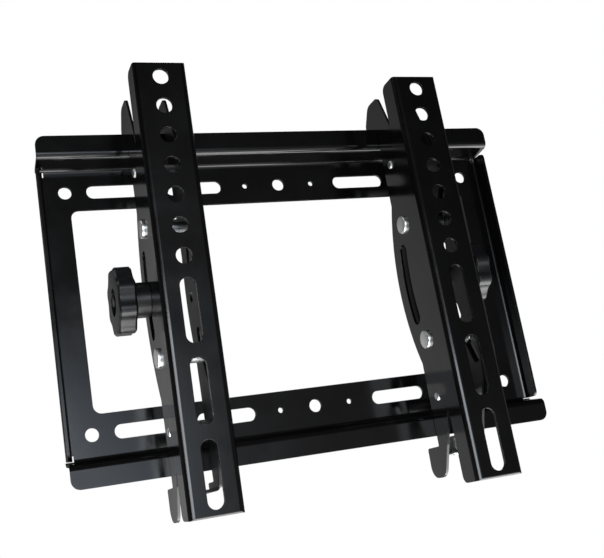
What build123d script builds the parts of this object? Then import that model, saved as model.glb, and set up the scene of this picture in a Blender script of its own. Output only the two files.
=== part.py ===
from build123d import *
import math
import os

# Tilting wall bracket for a flat screen: a folded wall plate and two arms that hang on its rails.
# Millimetres. +X is right, +Z is up, and the wall is the plane Y = 0 with the screen towards -Y.
# The origin is the middle of the wall plate's back.

# Wall plate, folded from one sheet
plate_t = 1.5
plate_half_width = 139.0
bend_r = 2.75
lip_reach = 15.1
lip_top = 93.9
lip_corner_r = 5.0
shelf_root_z = 80.2
shelf_tip_z = 82.0
side_flange_reach = 9.9
side_flange_half = 78.6
side_flange_corner_r = 3.0
side_relief = 0.4
relief_slit_w = 0.8
relief_slit_h = 3.2
window_half_width = 122.3
window_half_height = 56.0
window_corner_r = 4.5
wall_row_z = 66.4
wall_hole_d = 7.2
corner_hole_x = 124.3
wall_slot_w = 7.6
wall_slot_length = 32.9
inner_slot_x = 51.85
outer_slot_x = 96.25
pilot_hole_d = 3.0
pilot_hole_x = 20.8

# Arms: where each one hangs on the rails and how far it is tilted
left_arm_x = -77.35
right_arm_x = 74.0
left_tilt_deg = 2.5
right_tilt_deg = -0.7

# Tilt axis, an imaginary line in front of the screen face, measured from the plate's front face
axis_reach = 128.8
axis_z = -6.0
tilt_half_range_deg = 9.0

# Channel, folded from one sheet
channel_t = 1.5
channel_width = 28.0
channel_half_length = 116.0
channel_rise = 1.0
channel_bend_r = 2.25
channel_face_r = 73.4
channel_flange_depth = 15.0
channel_end_r = 4.0
channel_face_corner_r = 1.2
belly_r = 116.8
belly_root_r = 6.0
screen_hole_d = 8.4
screen_hole_first = 8.1
screen_hole_pitch = 16.0
screen_hole_count = 7
screen_slot_w = 8.4
screen_slot_count = 3
screen_slot_bridge = 7.0
screen_slot_end = 3.4
knob_slot_inset = 11.8
knob_slot_w = 8.0
knob_slot_half_deg = 10.9

# Guide bolts through the channel, with their heads on the left
guide_inset = 14.4
guide_deg = 19.4
guide_shank_d = 6.0
guide_hole_d = 6.4
guide_slot_clear = 0.3
guide_slot_extra_deg = 0.3
guide_head_d = 10.4
guide_head_h = 2.6
guide_head_edge = 1.0
guide_nut_af = 10.0
guide_nut_h = 3.2
guide_tip_past = 0.6
sleeve_d = 8.6
sleeve_bore_d = 6.3
sleeve_end_clear = 0.2

# Hook plates, nested inside the channel
hook_t = 1.5
hook_width = 22.8
hook_side_clear = 0.2
hook_lip_clear = 0.3
hook_seat_clear = 0.05
finger_lip_clear = 0.4
finger_back = 2.2
finger_tip_z = 86.5
tooth_z = -99.8
hook_back_inset = 0.3
# Corners of their side view: distance in front of the wall plate, height and corner radius
tail_corners = [(1.6, tooth_z, 1.6), (1.2, -116.8, 7.0), (16.6, -117.2, 8.0), (25.3, -100.0, 6.0)]
front_corners = [(42.4, -63.0, 8.0), (46.0, -42.5, 8.0), (45.6, 32.5, 8.0), (39.8, 70.0, 8.0)]
ear_corners = [(23.2, 111.4, 4.5), (9.6, 111.6, 6.0), (2.2, 101.0, 6.0)]
stud_hole_d = 6.6
tab_z = -103.5
tab_back = 4.4
tab_front = 22.4
tab_root_front = 26.0
tab_past_middle = 8.3
tab_bend_r = 1.8
tab_corner_r = 3.0

# Riveted spacers between the hook plates
spacer_spots = [(24.8, 66.9), (25.8, -72.8)]
spacer_d = 8.0
rivet_d = 4.0
rivet_head_d = 5.0
rivet_head_h = 1.2
rivet_head_edge = 1.0

# Knob, stud and nut of the tilt clamp
stud_rise_deg = 1.55
stud_d = 6.0
stud_past_nut = 1.2
clamp_nut_af = 10.0
clamp_nut_h = 5.0
knob_face_gap = 0.1
knob_hub_d = 18.6
knob_hub_length = 8.6
knob_star_t = 9.4
knob_r = 18.3
knob_lobes = 8
knob_lobe_r = 5.0
knob_hollow_depth = 1.9
knob_lobe_turn_deg = 29.5
knob_edge = 1.0
knob_dish_d = 14.6
knob_boss_d = 4.8
knob_dish_depth = 4.0
knob_stud_grip = 11.0

# Lock screw under the bottom lip
lock_reach = 14.35
lock_screw_d = 6.0
lock_screw_top_z = -95.2
lock_screw_below_tab = 1.0
lock_socket_af = 3.0
lock_socket_depth = 3.0
lock_nut_af = 10.0
lock_nut_h = 7.6
thread_clear = 0.03
nut_chamfer = 0.7

plate_front = -plate_t
axis_y = plate_front - axis_reach
channel_half = channel_width / 2
hook_outer = hook_width / 2
hook_inner = hook_outer - hook_t
# The clamp draws the hook plates towards the side of the knob
hook_shift = channel_half - channel_t - hook_side_clear - hook_outer
knob_slot_r = belly_r - knob_slot_inset
guide_r = belly_r - guide_inset
hook_back_r = belly_r - hook_back_inset


def ahead(reach, z):
    """Point in the YZ plane, given by its distance in front of the wall plate's front face."""
    return (plate_front - reach, z)


def polar(radius, degrees):
    """Point in the YZ plane, given by its distance from the tilt axis and its angle above the level."""
    angle = math.radians(degrees)
    return (axis_y + radius * math.cos(angle), axis_z + radius * math.sin(angle))


def outline(corners):
    """Closed face from corners given as (u, v, radius), each one rounded by its own radius."""
    count = len(corners)
    starts = []
    middles = []
    ends = []
    for i in range(count):
        u, v, radius = corners[i]
        before = corners[i - 1]
        after = corners[(i + 1) % count]
        here = Vector(u, v)
        back = (Vector(before[0], before[1]) - here).normalized()
        on = (Vector(after[0], after[1]) - here).normalized()
        half = math.acos(max(-1.0, min(1.0, back.dot(on)))) / 2
        if radius <= 0:
            starts.append(here)
            middles.append(None)
            ends.append(here)
            continue
        run = radius / math.tan(half)
        bisector = (back + on).normalized()
        starts.append(here + back * run)
        middles.append(here + bisector * (radius / math.sin(half) - radius))
        ends.append(here + on * run)
    edges = []
    for i in range(count):
        if (starts[i] - ends[i - 1]).length > 1e-6:
            edges.append(Line(ends[i - 1], starts[i]))
        if middles[i] is not None:
            edges.append(ThreePointArc(starts[i], middles[i], ends[i]))
    return make_face(edges)


def across(face, x0, x1):
    """Prism of a YZ face between two X planes."""
    return extrude(Plane.YZ.offset(x0) * face, x1 - x0)


def rod_x(x0, x1, diameter, centre):
    """Cylinder along X about a YZ point."""
    return across(Pos(*centre) * Circle(diameter / 2), x0, x1)


def hexagon_x(x0, x1, across_flats, centre):
    """Hexagonal prism along X about a YZ point, with its outer corners chamfered."""
    radius = across_flats / math.sqrt(3)
    prism = across(Pos(*centre) * RegularPolygon(radius, 6), x0, x1)
    turned = chamfer(rod_x(x0, x1, 2 * radius, centre).edges().filter_by(GeomType.CIRCLE), nut_chamfer)
    return prism & turned


def arc_slot(radius, middle_deg, half_deg, width):
    """Face of a slot that is bent about the tilt axis, with round ends."""
    inner = radius - width / 2
    outer = radius + width / 2
    low = middle_deg - half_deg
    high = middle_deg + half_deg
    edges = [
        ThreePointArc(polar(inner, low), polar(inner, middle_deg), polar(inner, high)),
        ThreePointArc(polar(inner, high), end_point(radius, high, width, 1), polar(outer, high)),
        ThreePointArc(polar(outer, high), polar(outer, middle_deg), polar(outer, low)),
        ThreePointArc(polar(outer, low), end_point(radius, low, width, -1), polar(inner, low)),
    ]
    return make_face(edges)


def end_point(radius, degrees, width, side):
    """Far point of a bent slot's round end."""
    angle = math.radians(degrees)
    y, z = polar(radius, degrees)
    return (y - side * math.sin(angle) * width / 2, z + side * math.cos(angle) * width / 2)


def make_wall_plate():
    middle = plate_front + plate_t / 2
    lip = plate_front - lip_reach + plate_t / 2
    fold = FilletPolyline(
        (lip, -lip_top),
        (lip, -shelf_tip_z),
        (middle, -shelf_root_z),
        (middle, shelf_root_z),
        (lip, shelf_tip_z),
        (lip, lip_top),
        radius=bend_r,
    )
    plate = across(trace(fold, plate_t), -plate_half_width, plate_half_width)
    # Rounded outer corners of both lips
    side = outline(
        [
            (-plate_half_width, -lip_top, lip_corner_r),
            (plate_half_width, -lip_top, lip_corner_r),
            (plate_half_width, lip_top, lip_corner_r),
            (-plate_half_width, lip_top, lip_corner_r),
        ]
    )
    plate = plate & extrude(Plane.XZ * side, 2 * lip_reach, both=True)
    # Side flanges take the place of the sheet's edge between the rails
    strip = bend_r + plate_t / 2
    for hand in (-1, 1):
        edge_x = hand * (plate_half_width - strip / 2)
        cut = Box(strip, 4 * plate_t, 2 * (side_flange_half + side_relief))
        plate = plate - Pos(edge_x, middle, 0) * cut
        bend = FilletPolyline(
            (hand * (plate_half_width - 2 * strip), middle),
            (hand * (plate_half_width - plate_t / 2), middle),
            (hand * (plate_half_width - plate_t / 2), plate_front - side_flange_reach),
            radius=bend_r,
        )
        flange = extrude(Plane.XY * trace(bend, plate_t), side_flange_half, both=True)
        shape = outline(
            [
                (plate_front - side_flange_reach, -side_flange_half, side_flange_corner_r),
                (0, -side_flange_half, 0),
                (0, side_flange_half, 0),
                (plate_front - side_flange_reach, side_flange_half, side_flange_corner_r),
            ]
        )
        flange = flange & across(shape, -2 * plate_half_width, 2 * plate_half_width)
        plate = plate + flange
        # Slits that let the flange bend without tearing the sheet
        slit_x = hand * (plate_half_width - strip - relief_slit_w / 2)
        slit_z = side_flange_half + side_relief - relief_slit_h / 2
        for end in (-slit_z, slit_z):
            plate = plate - Pos(slit_x, middle, end) * Box(relief_slit_w, 4 * plate_t, relief_slit_h)
    openings = RectangleRounded(2 * window_half_width, 2 * window_half_height, window_corner_r)
    for z in (-wall_row_z, wall_row_z):
        openings += Pos(0, z) * Circle(wall_hole_d / 2)
        for hand in (-1, 1):
            openings += Pos(hand * corner_hole_x, z) * Circle(wall_hole_d / 2)
            openings += Pos(hand * pilot_hole_x, z) * Circle(pilot_hole_d / 2)
            openings += Pos(hand * inner_slot_x, z) * SlotOverall(wall_slot_length, wall_slot_w)
            openings += Pos(hand * outer_slot_x, z) * SlotOverall(wall_slot_length, wall_slot_w)
    return plate - extrude(Plane.XZ * openings, 3 * plate_t, both=True)


def make_channel(arm_x):
    """Channel upright, before it is tilted."""
    face_y = axis_y + channel_face_r
    wall = channel_half - channel_t / 2
    back = axis_y + belly_r + channel_t
    fold = FilletPolyline(
        (-wall, back),
        (-wall, face_y + channel_t / 2),
        (wall, face_y + channel_t / 2),
        (wall, back),
        radius=channel_bend_r,
    )
    middle_z = axis_z + channel_rise
    top = middle_z + channel_half_length
    low = middle_z - channel_half_length
    folded = extrude(Plane.XY.offset(middle_z) * trace(fold, channel_t), channel_half_length, both=True)
    # Side view: a narrow flange with a round belly about the tilt axis
    flange_back = face_y + channel_flange_depth
    narrow = outline(
        [
            (face_y, low, channel_face_corner_r),
            (flange_back, low, channel_end_r),
            (flange_back, top, channel_end_r),
            (face_y, top, channel_face_corner_r),
        ]
    )
    disc = Pos(axis_y, axis_z) * Circle(belly_r)
    front_half = Pos(face_y + channel_t + belly_r, axis_z) * Rectangle(2 * belly_r, 4 * belly_r)
    shape = narrow + (disc & front_half)
    on_back = [v for v in shape.vertices() if abs(v.X - flange_back) < 0.01]
    roots = [v for v in on_back if abs(v.Y - axis_z) < 0.8 * belly_r]
    shape = fillet(roots, belly_root_r)
    channel = folded & across(shape, -channel_width, channel_width)
    # Screen holes in the upper half of the face, and slots that share the rest of its length
    holes = Sketch()
    for i in range(screen_hole_count):
        holes += Pos(0, top - screen_hole_first - i * screen_hole_pitch) * Circle(screen_hole_d / 2)
    last_hole_z = top - screen_hole_first - (screen_hole_count - 1) * screen_hole_pitch - screen_hole_d / 2
    slot_step = (last_hole_z - low - screen_slot_end) / screen_slot_count
    slot = Rot(0, 0, 90) * SlotOverall(slot_step - screen_slot_bridge, screen_slot_w)
    for i in range(screen_slot_count):
        holes += Pos(0, low + screen_slot_end + i * slot_step + (slot_step - screen_slot_bridge) / 2) * slot
    channel = channel - extrude(Plane.XZ.offset(-face_y) * holes, 2 * channel_t, both=True)
    # Curved knob slot and guide bolt holes in both flanges
    knob_slot = arc_slot(knob_slot_r, 0, knob_slot_half_deg, knob_slot_w)
    channel = channel - across(knob_slot, -channel_width, channel_width)
    for degrees in (-guide_deg, guide_deg):
        channel = channel - rod_x(-channel_width, channel_width, guide_hole_d, polar(guide_r, degrees))
    return Pos(arm_x, 0, 0) * channel


def hook_face(with_tail):
    """Side view of a hook plate, from the ear down to the tooth and the tail or the tab."""
    lip_front = lip_reach + hook_lip_clear
    lip_back = lip_reach - plate_t - finger_lip_clear
    seat_z = lip_top + hook_seat_clear
    corners = [
        (finger_back, finger_tip_z, 2.0),
        (lip_back, finger_tip_z, 1.5),
        (lip_back, seat_z, 0.4),
        (lip_front, seat_z, 0.4),
        (lip_front, tooth_z, 0.8),
    ]
    if with_tail:
        corners += tail_corners
    else:
        corners += [(tab_back, tooth_z, 1.4), (tab_back, tab_z, 0), (tab_root_front, tab_z, 2.0)]
    corners += front_corners + ear_corners
    face = outline([(*ahead(reach, z), radius) for reach, z, radius in corners])
    # In the middle the back edge bows out behind the channel's belly
    disc = Pos(axis_y, axis_z) * Circle(hook_back_r)
    face = face + (disc & Pos(*ahead(lip_front, axis_z)) * Rectangle(lip_reach, 2 * hook_back_r))
    face = face - Pos(*polar(knob_slot_r, stud_rise_deg)) * Circle(stud_hole_d / 2)
    slot_half = tilt_half_range_deg + guide_slot_extra_deg
    for degrees in (-guide_deg, guide_deg):
        face = face - arc_slot(guide_r, degrees, slot_half, guide_shank_d + 2 * guide_slot_clear)
    for reach, z in spacer_spots:
        face = face - Pos(*ahead(reach, z)) * Circle(rivet_d / 2)
    return face


def make_hook_plates(hook_x):
    tail_plate = across(hook_face(True), -hook_outer, -hook_inner)
    tab_plate = across(hook_face(False), hook_inner, hook_outer)
    # The tab is folded level from the lower edge, towards the other plate
    wall = hook_outer - hook_t / 2
    level = tab_z - hook_t / 2
    bend = FilletPolyline(
        (wall, tooth_z - 0.5),
        (wall, level),
        (-tab_past_middle, level),
        radius=tab_bend_r,
    )
    back_y = plate_front - tab_back
    front_y = plate_front - tab_front
    tab = extrude(Plane.XZ.offset(-back_y) * trace(bend, hook_t), back_y - front_y)
    rounding = outline(
        [
            (-tab_past_middle, front_y, tab_corner_r),
            (hook_outer, front_y, 0),
            (hook_outer, back_y, 0),
            (-tab_past_middle, back_y, tab_corner_r),
        ]
    )
    tab = tab & extrude(Plane.XY * rounding, 2 * channel_half_length, both=True)
    trim = Pos(0, (back_y + front_y) / 2, tab_z) * Box(4 * hook_outer, back_y - front_y, 2 * tab_bend_r)
    tab_plate = tab_plate - trim + tab
    screw_hole = Cylinder(lock_screw_d / 2 + thread_clear, 6 * hook_t)
    tab_plate = tab_plate - Pos(0, plate_front - lock_reach, tab_z) * screw_hole
    return Pos(hook_x, 0, 0) * tail_plate, Pos(hook_x, 0, 0) * tab_plate


def make_hook_spacers(hook_x):
    spacers = []
    for reach, z in spacer_spots:
        spot = ahead(reach, z)
        post = rod_x(-hook_inner, hook_inner, spacer_d, spot)
        post = post + rod_x(-hook_outer, hook_outer, rivet_d, spot)
        for hand in (-1, 1):
            head = rod_x(hand * hook_outer, hand * (hook_outer + rivet_head_h), rivet_head_d, spot)
            rim = head.edges().filter_by(GeomType.CIRCLE).sort_by(Axis.X)[-1 if hand > 0 else 0]
            post = post + fillet(rim, rivet_head_edge)
        spacers.append(Pos(hook_x, 0, 0) * post)
    return spacers


def make_guide_hardware(arm_x, hook_x):
    """Round-headed bolts through the channel, the sleeves on them and their thin nuts."""
    bolts = []
    sleeves = []
    nuts = []
    nut_top = channel_half + guide_nut_h
    sleeve_half = hook_inner - sleeve_end_clear
    for degrees in (-guide_deg, guide_deg):
        spot = polar(guide_r, degrees)
        head = rod_x(-channel_half - guide_head_h, -channel_half, guide_head_d, spot)
        head = fillet(head.edges().filter_by(GeomType.CIRCLE).sort_by(Axis.X)[0], guide_head_edge)
        shank = rod_x(-channel_half, nut_top + guide_tip_past, guide_shank_d, spot)
        bolts.append(Pos(arm_x, 0, 0) * (head + shank))
        tube = rod_x(-sleeve_half, sleeve_half, sleeve_d, spot)
        tube = tube - rod_x(-sleeve_half, sleeve_half, sleeve_bore_d, spot)
        sleeves.append(Pos(hook_x, 0, 0) * tube)
        nut = hexagon_x(channel_half, nut_top, guide_nut_af, spot)
        nut = nut - rod_x(channel_half, nut_top, guide_shank_d + 2 * thread_clear, spot)
        nuts.append(Pos(arm_x, 0, 0) * nut)
    return bolts, sleeves, nuts


def knob_outline():
    """Wavy edge of the knob: lobes and hollows that run smoothly into each other."""
    step = 180 / knob_lobes
    lobe_ring = knob_r - knob_lobe_r
    floor_r = knob_r - knob_hollow_depth
    level = lobe_ring * math.cos(math.radians(step))
    room = floor_r**2 + lobe_ring**2 - 2 * floor_r * level - knob_lobe_r**2
    hollow_r = room / (2 * (level + knob_lobe_r - floor_r))
    share = knob_lobe_r / (knob_lobe_r + hollow_r)
    joins = []
    tips = []
    for i in range(2 * knob_lobes):
        turn = knob_lobe_turn_deg + i * step
        lobe = Vector(lobe_ring, 0).rotate(Axis.Z, turn if i % 2 == 0 else turn + step)
        hollow = Vector(floor_r + hollow_r, 0).rotate(Axis.Z, turn + step if i % 2 == 0 else turn)
        joins.append(lobe + (hollow - lobe) * share)
        tips.append(Vector(knob_r if i % 2 == 0 else floor_r, 0).rotate(Axis.Z, turn))
    return make_face([ThreePointArc(joins[i - 1], tips[i], joins[i]) for i in range(2 * knob_lobes)])


def make_knob(arm_x, hand):
    """Lobed knob, the stud moulded into it and the nut on the hook plate."""
    spot = polar(knob_slot_r, stud_rise_deg)
    hub_start = hand * (channel_half + knob_face_gap)
    star_start = hub_start + hand * knob_hub_length
    star_end = star_start + hand * knob_star_t
    star = across(Pos(*spot) * knob_outline(), star_start, star_end)
    ends = star.faces().sort_by(Axis.X)
    star = chamfer(ends[0].edges() + ends[-1].edges(), knob_edge)
    dish_floor = star_end - hand * knob_dish_depth
    dish = rod_x(dish_floor, star_end, knob_dish_d, spot) - rod_x(dish_floor, star_end, knob_boss_d, spot)
    hub = rod_x(hub_start, star_start, knob_hub_d, spot)
    grip_end = hub_start + hand * knob_stud_grip
    knob = star - dish + hub - rod_x(hub_start, grip_end, stud_d, spot)
    nut_start = hand * (hook_shift + hook_inner)
    nut_end = nut_start - hand * clamp_nut_h
    stud_end = nut_end - hand * stud_past_nut
    stud = rod_x(stud_end, grip_end, stud_d, spot)
    nut = hexagon_x(nut_end, nut_start, clamp_nut_af, spot)
    nut = nut - rod_x(nut_end, nut_start, stud_d + 2 * thread_clear, spot)
    return Pos(arm_x, 0, 0) * knob, Pos(arm_x, 0, 0) * stud, Pos(arm_x, 0, 0) * nut


def make_lock(hook_x):
    """Screw that is turned up against the bottom lip, and its nut on the tab."""
    centre_y = plate_front - lock_reach
    low = tab_z - hook_t - lock_screw_below_tab
    screw = Pos(0, 0, low) * extrude(Circle(lock_screw_d / 2), lock_screw_top_z - low)
    screw = chamfer(screw.edges().filter_by(GeomType.CIRCLE).sort_by(Axis.Z)[-1], 0.6)
    socket = Pos(0, 0, low) * extrude(RegularPolygon(lock_socket_af / math.sqrt(3), 6), lock_socket_depth)
    screw = screw - socket
    radius = lock_nut_af / math.sqrt(3)
    nut = extrude(RegularPolygon(radius, 6), lock_nut_h)
    turned = extrude(Circle(radius), lock_nut_h)
    turned = chamfer(turned.edges().filter_by(GeomType.CIRCLE), nut_chamfer)
    nut = (nut & turned) - extrude(Circle(lock_screw_d / 2 + thread_clear), lock_nut_h)
    place = Pos(hook_x, centre_y, 0)
    return place * screw, place * Pos(0, 0, tab_z) * nut


def tilted(shape, degrees):
    """Shape turned about the tilt axis, with its top towards the viewer for a positive angle."""
    return shape.rotate(Axis((0, axis_y, axis_z), (1, 0, 0)), degrees)


def save(name, *solids):
    """One node, made of one solid or of a group of equal fasteners."""
    shape = solids[0] if len(solids) == 1 else Compound(children=list(solids))
    shape.label = name
    export_step(shape, "parts/" + name + ".step")


def main():
    os.makedirs("parts", exist_ok=True)
    save("wall_plate", make_wall_plate())
    arms = [("left", left_arm_x, left_tilt_deg, -1), ("right", right_arm_x, right_tilt_deg, 1)]
    for name, arm_x, tilt_deg, hand in arms:
        hook_x = arm_x + hand * hook_shift
        save(name + "_channel", tilted(make_channel(arm_x), tilt_deg))
        bolts, sleeves, nuts = make_guide_hardware(arm_x, hook_x)
        save(name + "_guide_bolts", *[tilted(bolt, tilt_deg) for bolt in bolts])
        save(name + "_guide_sleeves", *[tilted(sleeve, tilt_deg) for sleeve in sleeves])
        save(name + "_guide_nuts", *[tilted(nut, tilt_deg) for nut in nuts])
        tail_plate, tab_plate = make_hook_plates(hook_x)
        save(name + "_hook_plate_tail", tail_plate)
        save(name + "_hook_plate_tab", tab_plate)
        save(name + "_hook_spacers", *make_hook_spacers(hook_x))
        knob, stud, clamp_nut = make_knob(arm_x, hand)
        save(name + "_tilt_knob", knob)
        save(name + "_clamp_stud", stud)
        save(name + "_clamp_nut", clamp_nut)
        lock_screw, lock_nut = make_lock(hook_x)
        save(name + "_lock_screw", lock_screw)
        save(name + "_lock_nut", lock_nut)


main()
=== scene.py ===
"""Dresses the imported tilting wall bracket, and adds its studio light and its camera."""

import math

import bpy
from bpy.props import FloatProperty, FloatVectorProperty, PointerProperty
from mathutils import Matrix, Vector


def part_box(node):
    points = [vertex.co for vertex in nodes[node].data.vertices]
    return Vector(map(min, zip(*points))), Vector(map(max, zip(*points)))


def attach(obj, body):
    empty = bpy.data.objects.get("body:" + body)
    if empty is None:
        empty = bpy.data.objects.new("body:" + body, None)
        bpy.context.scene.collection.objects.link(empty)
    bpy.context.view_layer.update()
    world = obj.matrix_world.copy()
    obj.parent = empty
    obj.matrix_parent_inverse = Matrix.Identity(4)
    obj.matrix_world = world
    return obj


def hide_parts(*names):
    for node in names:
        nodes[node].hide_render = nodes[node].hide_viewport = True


bl_info = {
    "name": "Tilting Wall Bracket",
    "version": (1, 0, 0),
    "blender": (4, 5, 0),
    "location": "View3D > Sidebar > Bracket",
    "description": "Paints a folded steel screen bracket and sets up its studio",
    "category": "Object",
}

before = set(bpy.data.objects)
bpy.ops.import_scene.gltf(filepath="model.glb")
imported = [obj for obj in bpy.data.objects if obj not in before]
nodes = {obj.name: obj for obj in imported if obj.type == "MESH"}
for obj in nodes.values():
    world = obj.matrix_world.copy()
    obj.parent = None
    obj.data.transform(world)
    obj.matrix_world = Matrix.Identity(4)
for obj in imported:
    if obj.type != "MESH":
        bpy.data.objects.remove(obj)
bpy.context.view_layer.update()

MM = 0.001
ARMS = ("left", "right")
X_AXIS, Z_AXIS = 0, 2
ORIGIN = (0.0, 0.0, 0.0)
WHITE = (1.0, 1.0, 1.0)
# Ranges: a share, a direction's component, and where most values of a noise texture lie
SHARE = (0.0, 1.0)
COMPONENT = (-1.0, 1.0)
NOISE_RANGE = (0.3, 0.7)
# Sockets of a Mix node for colours, whose names are the same for every type of value
MIX_FACTOR, MIX_FIRST, MIX_SECOND, MIX_RESULT = 0, 6, 7, 2

# Camera that was fitted to the photograph: place in metres, axes to its right, down and forward
PHOTO_WIDTH = 604
CAMERA_PLACE = (-0.190569, -0.4948, -0.11831)
CAMERA_RIGHT = (0.930660, -0.326810, -0.164520)
CAMERA_DOWN = (-0.073432, 0.273667, -0.959017)
CAMERA_FORWARD = (0.358440, 0.904600, 0.230693)
CAMERA_FOCAL_PX = 935.567
CAMERA_NEAR = 0.01
SENSOR_MM = 36.0

# What all skins share: clouds in tone and roughness, and the heights of their waves and grain
SKIN_IOR = 1.5
SKIN_DETAIL = 2.0
CLOUD_SCALE = 38.0
CLOUD_DETAIL = 4.0
CLOUD_ROUGHNESS = 0.6
CLOUD_TONE = (0.8, 1.25)
WAVE_HEIGHT = 0.1 * MM
GRAIN_HEIGHT = 0.03 * MM
EDGE_SAMPLES = 4
# Each skin: how far its roughness goes below and above the mean, the width and strength of its
# waves and grain, and the radius of its edges. Paint has its waves and edges in its settings.
PAINT_SKIN = {
    "swing": (-0.05, 0.06),
    "wave_strength": 0.06,
    "grain": 0.35 * MM,
    "grain_strength": 0.05,
}
SATIN_SKIN = {
    "swing": (-0.06, 0.08),
    "wave_strength": 0.05,
    "grain": 0.35 * MM,
    "grain_strength": 0.08,
}
ZINC_SKIN = {
    "swing": (-0.08, 0.1),
    "waves": 0.9 * MM,
    "wave_strength": 0.1,
    "grain": 0.2 * MM,
    "grain_strength": 0.12,
    "edge": 0.25 * MM,
}
PLASTIC_SKIN = {
    "swing": (-0.06, 0.08),
    "waves": 1.1 * MM,
    "wave_strength": 0.08,
    "grain": 0.3 * MM,
    "grain_strength": 0.16,
    "edge": 0.5 * MM,
}

# Turned fasteners: steps round a ring, and the angle from which an edge is sharp
RING_STEPS = 48
SHARP_ANGLE = math.radians(38.0)
# Threads: rings in one turn, sizes, steepness of the flanks and flatness of the crest
RINGS_A_TURN = 6
THREAD_PITCH = 1.0 * MM
THREAD_DEPTH = 0.55 * MM
THREAD_RUN_OUT = 0.3 * MM
FLANK_SLOPE = 1.3
CREST_FLAT = 0.15
SHANK_RADIUS = 3.0 * MM
BOLT_THREAD = 6.0 * MM
# A guide bolt's head: its seat and its face are measured from the CAD's lowest point
HEAD_RADIUS = 5.2 * MM
HEAD_SEAT = 2.6 * MM
HEAD_SUNK = 0.9 * MM
HEAD_RIM = 0.7 * MM
RIM_STEPS = 4
# The lock screw's hexagon socket
SOCKET_FLATS = 3.0 * MM
SOCKET_DEPTH = 3.0 * MM
SOCKET_TURN = math.tau / 6

# Brightness of the room by height of direction, from straight down (-1) to straight up (1)
FRONT_GLOW = (
    (-1.0, 0.2),
    (-0.35, 0.16),
    (-0.12, 0.27),
    (0.0, 0.33),
    (0.07, 0.29),
    (0.14, 0.235),
    (0.21, 0.185),
    (0.28, 0.135),
    (0.35, 0.09),
    (0.42, 0.07),
    (1.0, 0.08),
)
BACK_GLOW = (
    (-1.0, 0.4),
    (-0.3, 0.6),
    (0.0, 0.6),
    (0.14, 0.47),
    (0.28, 0.36),
    (0.4, 0.24),
    (0.55, 0.1),
    (1.0, 0.1),
)
# Share of that brightness from the far left (-1) to the far right (1)
FRONT_SIDES = (
    (-1.0, 0.25),
    (-0.62, 0.25),
    (-0.48, 0.9),
    (0.28, 1.0),
    (0.42, 0.6),
    (0.54, 0.3),
    (1.0, 0.3),
)
BACK_SIDES = (
    (-1.0, 0.25),
    (-0.62, 0.25),
    (-0.5, 0.95),
    (-0.23, 1.0),
    (-0.16, 0.06),
    (0.0, 0.03),
    (1.0, 0.3),
)
# Where the front of the room turns into its back
FRONT_TO_BACK = (-0.25, 0.25)
# Halo of the front softbox: way to its middle, tint, and half width of its soft rim in radians
HALO_WAY = (-0.0349, -0.9984, -0.0436)
HALO_TINT = (0.86, 0.99, 1.16)
HALO_SOFT = 0.045
# Half width of the backdrop's soft rim, as a cosine
BACKDROP_SOFT = 0.04

# Lights, in metres: the front softbox lies on a way from the origin
SOFTBOX_WAY = (-0.3173, -0.9483, -0.0105)
SOFTBOX_FAR = 3.0
LIGHTS = {
    "front_softbox": {
        "place": Vector(SOFTBOX_WAY) * SOFTBOX_FAR,
        "target": ORIGIN,
        "size": (2.12, 0.84),
        "radiance": 6.3,
        "tint": (0.96, 1.0, 1.05),
    },
    "top_softbox": {
        "place": (-0.8, -0.1, 0.9),
        "target": ORIGIN,
        "size": (0.6, 0.6),
        "radiance": 2.0,
        "tint": WHITE,
    },
    "low_panel": {
        "place": (0.1, -0.07, -0.42),
        "target": (0.1, -0.07, 0.0),
        "size": (0.8, 0.45),
        "radiance": 6.0,
        "tint": WHITE,
    },
}

# Floor: half its side, its clouds, and the ring over which it fades into the backdrop
FLOOR_HALF = 1.1
FLOOR_ROUGHNESS = 0.8
FLOOR_CLOUD_SCALE = 6.0
FLOOR_CLOUD_DETAIL = 3.0
FLOOR_TONE = (0.97, 1.03)
FLOOR_FADE = (0.6, 1.15)
FLOOR_RIM_GLOW = 1.25


def colour_prop(name, description, default):
    """Colour setting."""
    return FloatVectorProperty(
        name=name,
        description=description,
        default=default,
        subtype="COLOR",
        size=3,
        min=0.0,
        max=1.0,
    )


def share_prop(name, description, default):
    """Setting from 0 to 1."""
    return FloatProperty(name=name, description=description, default=default, min=0.0, max=1.0)


def length_prop(name, description, default, least=0.0):
    """Length setting in metres."""
    return FloatProperty(
        name=name, description=description, default=default, min=least, unit="LENGTH"
    )


def angle_prop(name, description, degrees):
    """Angle setting, given in degrees."""
    return FloatProperty(
        name=name, description=description, default=math.radians(degrees), subtype="ANGLE"
    )


class BRACKET_PG_paint(bpy.types.PropertyGroup):
    """Black paint on the folded sheets"""

    colour: colour_prop("Paint", "Colour of the paint", (0.0022, 0.0022, 0.0024))
    roughness: share_prop("Roughness", "Mean roughness of the paint", 0.14)
    inner: share_prop("Inner roughness", "Mean roughness of the paint inside the arms", 0.45)
    peel: length_prop("Peel", "Width of the paint's orange-peel waves", 1.6 * MM)
    edge: length_prop("Edge", "Radius of the paint's rounded edges", 0.35 * MM)


class BRACKET_PG_zinc(bpy.types.PropertyGroup):
    """Zinc plating of the fasteners"""

    colour: colour_prop("Zinc", "Colour of the plating", (0.86, 0.875, 0.865))
    roughness: share_prop("Roughness", "Mean roughness of the plating", 0.36)


class BRACKET_PG_knob(bpy.types.PropertyGroup):
    """Moulded plastic of the knobs"""

    colour: colour_prop("Plastic", "Colour of the plastic", (0.006, 0.0062, 0.007))
    roughness: share_prop("Roughness", "Mean roughness of the plastic", 0.3)


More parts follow.
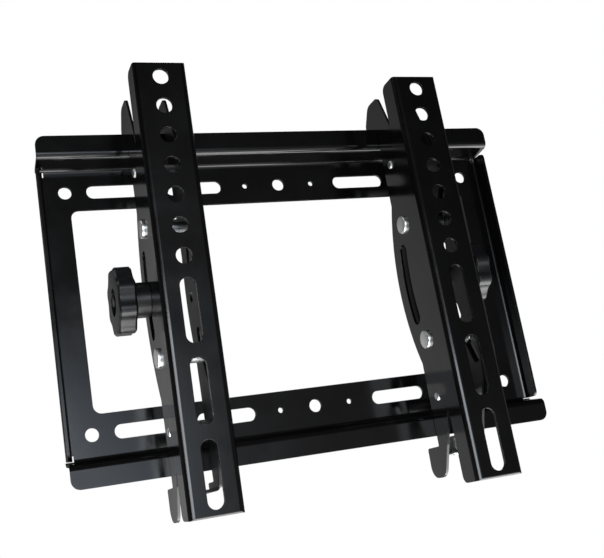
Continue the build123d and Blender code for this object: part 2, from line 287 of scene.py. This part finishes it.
class BRACKET_PG_stage(bpy.types.PropertyGroup):
    """Floor and backdrop"""

    floor_colour: colour_prop("Floor", "Colour of the floor", (0.82, 0.82, 0.81))
    floor_drop: length_prop("Floor drop", "Height of the floor below the origin", 0.46, least=0.2)
    floor_glow: share_prop("Floor glow", "Paleness of the floor to the camera and in gloss", 0.75)
    halo: FloatProperty(
        name="Halo", description="Brightness round the front softbox", default=1.5, min=0.0
    )
    halo_angle: angle_prop("Halo angle", "Half angle of that halo", 15.0)
    backdrop_angle: angle_prop("Backdrop", "Half angle of the white backdrop", 17.0)


def new_material(name):
    """New material, with its tree, its Principled shader and texture coordinates."""
    material = bpy.data.materials.new(name)
    material.use_nodes = True
    tree = material.node_tree
    shader = tree.nodes["Principled BSDF"]
    coords = tree.nodes.new("ShaderNodeTexCoord")
    return material, tree, shader, coords


def new_group(name, inputs, outputs):
    """Shader node group with sockets given as (name, type), and its two end nodes."""
    group = bpy.data.node_groups.new(name, "ShaderNodeTree")
    for label, kind in inputs:
        group.interface.new_socket(label, in_out="INPUT", socket_type=kind)
    for label, kind in outputs:
        group.interface.new_socket(label, in_out="OUTPUT", socket_type=kind)
    start = group.nodes.new("NodeGroupInput")
    end = group.nodes.new("NodeGroupOutput")
    return group, start, end


def noise(tree, vector, scale, detail, roughness=0.5):
    """Noise texture on the given coordinates."""
    node = tree.nodes.new("ShaderNodeTexNoise")
    node.inputs["Scale"].default_value = scale
    node.inputs["Detail"].default_value = detail
    node.inputs["Roughness"].default_value = roughness
    tree.links.new(vector, node.inputs["Vector"])
    return node.outputs["Fac"]


def spread(tree, value, target, source=NOISE_RANGE):
    """Maps a value from one range to another."""
    node = tree.nodes.new("ShaderNodeMapRange")
    node.inputs["From Min"].default_value = source[0]
    node.inputs["From Max"].default_value = source[1]
    node.inputs["To Min"].default_value = target[0]
    node.inputs["To Max"].default_value = target[1]
    tree.links.new(value, node.inputs["Value"])
    return node.outputs["Result"]


def bump(tree, height, strength, distance, normal):
    """Bump from a height, on top of another normal."""
    node = tree.nodes.new("ShaderNodeBump")
    node.inputs["Strength"].default_value = strength
    node.inputs["Distance"].default_value = distance
    tree.links.new(height, node.inputs["Height"])
    tree.links.new(normal, node.inputs["Normal"])
    return node.outputs["Normal"]


def toned(tree, colour, tone):
    """Colour multiplied by a tone."""
    node = tree.nodes.new("ShaderNodeVectorMath")
    node.operation = "SCALE"
    node.inputs[0].default_value = colour
    tree.links.new(tone, node.inputs["Scale"])
    return node.outputs["Vector"]


def skin_group(name, roughness, swing, waves, wave_strength, grain, grain_strength, edge):
    """Group with a surface's uneven tone and roughness, and its waves and grain on round edges."""
    group, start, end = new_group(
        name,
        inputs=[("Vector", "NodeSocketVector")],
        outputs=[
            ("Tone", "NodeSocketFloat"),
            ("Roughness", "NodeSocketFloat"),
            ("Normal", "NodeSocketVector"),
        ],
    )
    vector = start.outputs["Vector"]
    rounded = group.nodes.new("ShaderNodeBevel")
    rounded.samples = EDGE_SAMPLES
    rounded.inputs["Radius"].default_value = edge
    wave = noise(group, vector, 1.0 / waves, SKIN_DETAIL)
    fine = noise(group, vector, 1.0 / grain, SKIN_DETAIL)
    cloud = noise(group, vector, CLOUD_SCALE, CLOUD_DETAIL, CLOUD_ROUGHNESS)
    wavy = bump(group, wave, wave_strength, WAVE_HEIGHT, rounded.outputs["Normal"])
    normal = bump(group, fine, grain_strength, GRAIN_HEIGHT, wavy)
    rough = [roughness + change for change in swing]
    group.links.new(spread(group, cloud, CLOUD_TONE), end.inputs["Tone"])
    group.links.new(spread(group, cloud, rough), end.inputs["Roughness"])
    group.links.new(normal, end.inputs["Normal"])
    return group


def get_skin(name, group_name, colour, metallic=0.0, **skin):
    """Material whose colour, roughness and normal come from a skin group, made once."""
    material = bpy.data.materials.get(name)
    if material:
        return material
    material, tree, shader, coords = new_material(name)
    node = tree.nodes.new("ShaderNodeGroup")
    node.node_tree = skin_group(group_name, **skin)
    tree.links.new(coords.outputs["Object"], node.inputs["Vector"])
    base = toned(tree, tuple(colour), node.outputs["Tone"])
    tree.links.new(base, shader.inputs["Base Color"])
    tree.links.new(node.outputs["Roughness"], shader.inputs["Roughness"])
    tree.links.new(node.outputs["Normal"], shader.inputs["Normal"])
    shader.inputs["Metallic"].default_value = metallic
    shader.inputs["IOR"].default_value = SKIN_IOR
    return material


def get_paint(context):
    """Glossy black paint."""
    paint = context.scene.bracket_paint
    return get_skin(
        "black_paint_skin",
        "paint_waves",
        paint.colour,
        roughness=paint.roughness,
        waves=paint.peel,
        edge=paint.edge,
        **PAINT_SKIN,
    )


def get_satin(context):
    """Duller paint of the hook plates that lie deeper in the arms."""
    paint = context.scene.bracket_paint
    return get_skin(
        "satin_paint_skin",
        "satin_waves",
        paint.colour,
        roughness=paint.inner,
        waves=paint.peel,
        edge=paint.edge,
        **SATIN_SKIN,
    )


def get_zinc(context):
    """Bright zinc plating."""
    zinc = context.scene.bracket_zinc
    return get_skin(
        "zinc_skin",
        "zinc_mottle",
        zinc.colour,
        metallic=1.0,
        roughness=zinc.roughness,
        **ZINC_SKIN,
    )


def get_plastic(context):
    """Satin black plastic."""
    knob = context.scene.bracket_knob
    return get_skin(
        "knob_skin", "plastic_grain", knob.colour, roughness=knob.roughness, **PLASTIC_SKIN
    )


def dress(names, material):
    """Gives CAD nodes a material."""
    for name in names:
        for slot in nodes[name].material_slots:
            slot.material = material


def of_arms(*pieces):
    """Node names of the given pieces on both arms."""
    return [arm + "_" + piece for arm in ARMS for piece in pieces]


class BRACKET_OT_wall_plate(bpy.types.Operator):
    """Paint the folded wall plate"""

    bl_idname = "bracket.wall_plate"
    bl_label = "Wall Plate"

    def execute(self, context):
        dress(["wall_plate"], get_paint(context))
        return {"FINISHED"}


class BRACKET_OT_arms(bpy.types.Operator):
    """Paint the channels and hook plates of both arms"""

    bl_idname = "bracket.arms"
    bl_label = "Arms"

    def execute(self, context):
        dress(of_arms("channel", "hook_plate_tail"), get_paint(context))
        dress(of_arms("hook_plate_tab"), get_satin(context))
        return {"FINISHED"}


def thread_radius(place, near_end):
    """Radius of a thread at a place along it, by angle, with a chamfer near its ends."""

    def at(angle):
        turn = (place / THREAD_PITCH - angle / math.tau) % 1.0
        groove = min(max(FLANK_SLOPE * abs(2.0 * turn - 1.0) - CREST_FLAT, 0.0), 1.0)
        core = SHANK_RADIUS - THREAD_DEPTH
        return min(SHANK_RADIUS - THREAD_DEPTH * groove, core + near_end)

    return at


def thread_rings(start, end, free_start=True):
    """Rings of a thread between two places, with a chamfer at its end and at a free start."""
    count = round((end - start) / THREAD_PITCH * RINGS_A_TURN)
    rings = []
    for index in range(count + 1):
        place = start + (end - start) * index / count
        near_end = min(end - place, place - start) if free_start else end - place
        rings.append((place, thread_radius(place, near_end)))
    return rings


def plain(radius):
    """Radius that is the same at every angle."""
    return lambda angle: radius


def hexagon(angle):
    """Radius of the lock screw's socket at an angle."""
    off_flat = (angle + SOCKET_TURN / 2) % SOCKET_TURN - SOCKET_TURN / 2
    return SOCKET_FLATS / 2 / math.cos(off_flat)


def bolt_rings(low, high):
    """Rings of a guide bolt: a low head with a rounded rim, a plain shank and a threaded end."""
    face = low + HEAD_SUNK
    rings = []
    for step in range(RIM_STEPS + 1):
        turn = math.pi / 2 * step / RIM_STEPS
        radius = HEAD_RADIUS - HEAD_RIM * (1.0 - math.sin(turn))
        rings.append((face + HEAD_RIM * (1.0 - math.cos(turn)), plain(radius)))
    seat = low + HEAD_SEAT
    start = high - BOLT_THREAD
    rings.append((seat, plain(HEAD_RADIUS)))
    rings.append((seat, plain(SHANK_RADIUS)))
    rings.append((start - THREAD_RUN_OUT, plain(SHANK_RADIUS)))
    return rings + thread_rings(start, high, free_start=False)


def screw_rings(low, high):
    """Rings of the lock screw: a hexagon socket in its lower end, and a thread all along."""
    return [(low + SOCKET_DEPTH, hexagon), (low, hexagon)] + thread_rings(low, high)


def turned(axis, middle, rings, points, faces):
    """Adds a closed form of rings round an axis to lists of points and faces."""
    across, up = (axis + 1) % 3, (axis + 2) % 3
    loops = []
    for place, radius in rings:
        loops.append(list(range(len(points), len(points) + RING_STEPS)))
        for step in range(RING_STEPS):
            angle = math.tau * step / RING_STEPS
            point = [0.0, 0.0, 0.0]
            point[axis] = place
            point[across] = middle[across] + radius(angle) * math.cos(angle)
            point[up] = middle[up] + radius(angle) * math.sin(angle)
            points.append(point)
    faces.append(loops[0][::-1])
    faces.append(loops[-1])
    for near, far in zip(loops, loops[1:]):
        for step in range(RING_STEPS):
            after = (step + 1) % RING_STEPS
            faces.append((near[step], near[after], far[after], far[step]))


def halves(node):
    """Lowest and highest corners of a node's upper piece, and of its lower one."""
    low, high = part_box(node)
    split = (low[2] + high[2]) / 2
    places = [vertex.co for vertex in nodes[node].data.vertices]
    upper = [place for place in places if place.z > split]
    lower = [place for place in places if place.z < split]
    return [
        ([min(values) for values in zip(*part)], [max(values) for values in zip(*part)])
        for part in (upper, lower)
    ]


def add_turned(name, node, body, axis, boxes, make_rings, material):
    """Smooth zinc piece in the place of a CAD fastener, with one form in each of the boxes."""
    points, faces = [], []
    for low, high in boxes:
        middle = [(a + b) / 2 for a, b in zip(low, high)]
        turned(axis, middle, make_rings(low[axis], high[axis]), points, faces)
    mesh = bpy.data.meshes.new(name)
    mesh.from_pydata(points, [], faces)
    mesh.shade_smooth()
    mesh.set_sharp_from_angle(angle=SHARP_ANGLE)
    mesh.materials.append(material)
    piece = bpy.data.objects.new(name, mesh)
    bpy.context.scene.collection.objects.link(piece)
    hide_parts(node)
    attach(piece, body)


def add_bolts(arm, material):
    """The two guide bolts of an arm, which lie along X with their heads on the left."""
    node = arm + "_guide_bolts"
    name, body = arm + "_bolts_threaded", arm + "_arm"
    add_turned(name, node, body, X_AXIS, halves(node), bolt_rings, material)


def add_stud(arm, material):
    """The threaded stud of an arm's knob, along X."""
    node = arm + "_clamp_stud"
    name, body = arm + "_stud_threaded", arm + "_knob"
    add_turned(name, node, body, X_AXIS, [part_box(node)], thread_rings, material)


def add_screw(arm, material):
    """The lock screw of an arm, which stands along Z."""
    node = arm + "_lock_screw"
    name, body = arm + "_screw_threaded", arm + "_lock"
    add_turned(name, node, body, Z_AXIS, [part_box(node)], screw_rings, material)


class BRACKET_OT_fasteners(bpy.types.Operator):
    """Plate the nuts, sleeves and spacers, and cut threads on the bolts, studs and screws"""

    bl_idname = "bracket.fasteners"
    bl_label = "Fasteners"

    def execute(self, context):
        zinc = get_zinc(context)
        dress(of_arms("hook_spacers", "guide_sleeves", "guide_nuts", "clamp_nut", "lock_nut"), zinc)
        for arm in ARMS:
            add_bolts(arm, zinc)
            add_stud(arm, zinc)
            add_screw(arm, zinc)
        return {"FINISHED"}


class BRACKET_OT_knobs(bpy.types.Operator):
    """Give the tilt knobs their plastic"""

    bl_idname = "bracket.knobs"
    bl_label = "Knobs"

    def execute(self, context):
        dress(of_arms("tilt_knob"), get_plastic(context))
        return {"FINISHED"}


def area_light(name, place, target, size, radiance, tint):
    """Rectangular light at a place, turned towards a target, that the camera doesn't see."""
    light = bpy.data.lights.new(name, "AREA")
    light.shape = "RECTANGLE"
    light.size = size[0]
    light.size_y = size[1]
    light.energy = radiance * math.pi * size[0] * size[1]
    light.color = tint
    obj = bpy.data.objects.new(name, light)
    obj.location = place
    obj.rotation_euler = (Vector(target) - obj.location).to_track_quat("-Z", "Y").to_euler()
    obj.visible_camera = False
    bpy.context.scene.collection.objects.link(obj)


def add_camera(scene):
    """Camera at the photograph's place and angle."""
    data = bpy.data.cameras.new("photo_camera")
    data.sensor_fit = "HORIZONTAL"
    data.sensor_width = SENSOR_MM
    data.lens = CAMERA_FOCAL_PX / PHOTO_WIDTH * SENSOR_MM
    data.clip_start = CAMERA_NEAR
    camera = bpy.data.objects.new("photo_camera", data)
    scene.collection.objects.link(camera)
    axes = Matrix((CAMERA_RIGHT, -Vector(CAMERA_DOWN), -Vector(CAMERA_FORWARD))).transposed()
    camera.matrix_world = Matrix.LocRotScale(Vector(CAMERA_PLACE), axes.to_quaternion(), None)
    scene.camera = camera


def glow_ramp(tree, share, stops):
    """Level along a direction's component, given as a share, from stops of (component, level)."""
    node = tree.nodes.new("ShaderNodeValToRGB")
    ramp = node.color_ramp
    ready = len(ramp.elements)
    for index, (component, level) in enumerate(stops):
        position = 0.5 + 0.5 * component
        element = ramp.elements[index] if index < ready else ramp.elements.new(position)
        element.position = position
        element.color = (level, level, level, 1.0)
    tree.links.new(share, node.inputs["Fac"])
    return node.outputs["Color"]


def blend(tree, factor, first, second=None):
    """Mix of two colours, the second one white if none is given."""
    node = tree.nodes.new("ShaderNodeMix")
    node.data_type = "RGBA"
    tree.links.new(factor, node.inputs[MIX_FACTOR])
    tree.links.new(first, node.inputs[MIX_FIRST])
    if second is None:
        node.inputs[MIX_SECOND].default_value = (*WHITE, 1.0)
    else:
        tree.links.new(second, node.inputs[MIX_SECOND])
    return node.outputs[MIX_RESULT]


def math_node(tree, operation, first, second):
    """Product or greater of two values."""
    node = tree.nodes.new("ShaderNodeMath")
    node.operation = operation
    tree.links.new(first, node.inputs[0])
    tree.links.new(second, node.inputs[1])
    return node.outputs["Value"]


def facing(tree, direction, way):
    """Cosine of the angle between a direction and a fixed way."""
    node = tree.nodes.new("ShaderNodeVectorMath")
    node.operation = "DOT_PRODUCT"
    node.inputs[1].default_value = way
    tree.links.new(direction, node.inputs[0])
    return node.outputs["Value"]


def seen_or_mirrored(tree, panel=None):
    """1 for what the camera sees and what gloss and glass show, those within a panel if given."""
    path = tree.nodes.new("ShaderNodeLightPath")
    glossy, through = path.outputs["Is Glossy Ray"], path.outputs["Is Transmission Ray"]
    mirrored = math_node(tree, "MAXIMUM", glossy, through)
    if panel is not None:
        mirrored = math_node(tree, "MULTIPLY", mirrored, panel)
    return math_node(tree, "MAXIMUM", path.outputs["Is Camera Ray"], mirrored)


def room_half(tree, height, side, glow, sides):
    """Brightness of the room's front or back."""
    by_height = glow_ramp(tree, height, glow)
    by_side = glow_ramp(tree, side, sides)
    return math_node(tree, "MULTIPLY", by_height, by_side)


def room_colour(tree, direction, stage):
    """Soft greys of the room, with the halo of the front softbox on them."""
    split = tree.nodes.new("ShaderNodeSeparateXYZ")
    tree.links.new(direction, split.inputs["Vector"])
    height = spread(tree, split.outputs["Z"], SHARE, COMPONENT)
    depth = spread(tree, split.outputs["Y"], SHARE, FRONT_TO_BACK)
    side = spread(tree, split.outputs["X"], SHARE, COMPONENT)
    front = room_half(tree, height, side, FRONT_GLOW, FRONT_SIDES)
    back = room_half(tree, height, side, BACK_GLOW, BACK_SIDES)
    rim = [math.cos(stage.halo_angle + HALO_SOFT), math.cos(stage.halo_angle - HALO_SOFT)]
    halo = spread(tree, facing(tree, direction, HALO_WAY), (0.0, stage.halo), rim)
    room = tree.nodes.new("ShaderNodeVectorMath")
    room.operation = "ADD"
    tree.links.new(blend(tree, depth, front, back), room.inputs[0])
    tree.links.new(toned(tree, HALO_TINT, halo), room.inputs[1])
    return room.outputs["Vector"]


def add_world(scene, stage):
    """Room with a white backdrop, which the camera, gloss and glass see behind the object."""
    world = bpy.data.worlds.new("studio")
    world.use_nodes = True
    scene.world = world
    tree = world.node_tree
    tree.nodes.clear()
    out = tree.nodes.new("ShaderNodeOutputWorld")
    coords = tree.nodes.new("ShaderNodeTexCoord")
    direction = coords.outputs["Generated"]
    room = room_colour(tree, direction, stage)
    edge = math.cos(stage.backdrop_angle)
    rim = (edge - BACKDROP_SOFT, edge + BACKDROP_SOFT)
    panel = spread(tree, facing(tree, direction, CAMERA_FORWARD), SHARE, rim)
    glow = tree.nodes.new("ShaderNodeBackground")
    tree.links.new(blend(tree, seen_or_mirrored(tree, panel), room), glow.inputs["Color"])
    tree.links.new(glow.outputs["Background"], out.inputs["Surface"])


def add_floor(scene, stage):
    """Pale floor under the object, which fades into the white backdrop at its rim."""
    half, drop = FLOOR_HALF, -stage.floor_drop
    mesh = bpy.data.meshes.new("studio_floor")
    corners = [(-half, -half, drop), (half, -half, drop), (half, half, drop), (-half, half, drop)]
    mesh.from_pydata(corners, [], [(0, 1, 2, 3)])
    floor = bpy.data.objects.new("studio_floor", mesh)
    scene.collection.objects.link(floor)
    material, tree, shader, coords = new_material("studio_floor_skin")
    cloud = noise(tree, coords.outputs["Object"], FLOOR_CLOUD_SCALE, FLOOR_CLOUD_DETAIL)
    base = toned(tree, tuple(stage.floor_colour), spread(tree, cloud, FLOOR_TONE))
    tree.links.new(base, shader.inputs["Base Color"])
    shader.inputs["Roughness"].default_value = FLOOR_ROUGHNESS
    shader.inputs["Emission Color"].default_value = (*stage.floor_colour, 1.0)
    far = tree.nodes.new("ShaderNodeVectorMath")
    far.operation = "LENGTH"
    tree.links.new(coords.outputs["Object"], far.inputs[0])
    glow = (stage.floor_glow, FLOOR_RIM_GLOW)
    pale = spread(tree, far.outputs["Value"], glow, FLOOR_FADE)
    shown = math_node(tree, "MULTIPLY", seen_or_mirrored(tree), pale)
    tree.links.new(shown, shader.inputs["Emission Strength"])
    mesh.materials.append(material)


class BRACKET_OT_stage(bpy.types.Operator):
    """Add the floor, the lights, the backdrop and the camera"""

    bl_idname = "bracket.stage"
    bl_label = "Stage"

    def execute(self, context):
        scene = context.scene
        stage = scene.bracket_stage
        add_camera(scene)
        add_world(scene, stage)
        add_floor(scene, stage)
        for name, light in LIGHTS.items():
            area_light(name, **light)
        scene.view_settings.view_transform = "Standard"
        return {"FINISHED"}


class BRACKET_PT_panel(bpy.types.Panel):
    """Lists the bracket's settings and steps"""

    bl_idname = "BRACKET_PT_panel"
    bl_label = "Tilting Wall Bracket"
    bl_space_type = "VIEW_3D"
    bl_region_type = "UI"
    bl_category = "Bracket"

    def draw(self, context):
        layout = self.layout
        for attribute, _ in SETTINGS:
            box = layout.box()
            settings = getattr(context.scene, attribute)
            for prop in settings.__annotations__:
                box.prop(settings, prop)
        for operator in OPERATORS:
            layout.operator(operator.bl_idname)


SETTINGS = (
    ("bracket_paint", BRACKET_PG_paint),
    ("bracket_zinc", BRACKET_PG_zinc),
    ("bracket_knob", BRACKET_PG_knob),
    ("bracket_stage", BRACKET_PG_stage),
)
OPERATORS = (
    BRACKET_OT_wall_plate,
    BRACKET_OT_arms,
    BRACKET_OT_fasteners,
    BRACKET_OT_knobs,
    BRACKET_OT_stage,
)


def register():
    """Adds the settings, operators and panel."""
    for attribute, group in SETTINGS:
        bpy.utils.register_class(group)
        setattr(bpy.types.Scene, attribute, PointerProperty(type=group))
    for cls in (*OPERATORS, BRACKET_PT_panel):
        bpy.utils.register_class(cls)


def unregister():
    """Removes the panel, operators and settings."""
    for cls in (BRACKET_PT_panel, *reversed(OPERATORS)):
        bpy.utils.unregister_class(cls)
    for attribute, group in reversed(SETTINGS):
        delattr(bpy.types.Scene, attribute)
        bpy.utils.unregister_class(group)


def main():
    """Registers the add-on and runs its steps."""
    register()
    bpy.ops.bracket.wall_plate()
    bpy.ops.bracket.arms()
    bpy.ops.bracket.fasteners()
    bpy.ops.bracket.knobs()
    bpy.ops.bracket.stage()


if __name__ == "__main__":
    main()
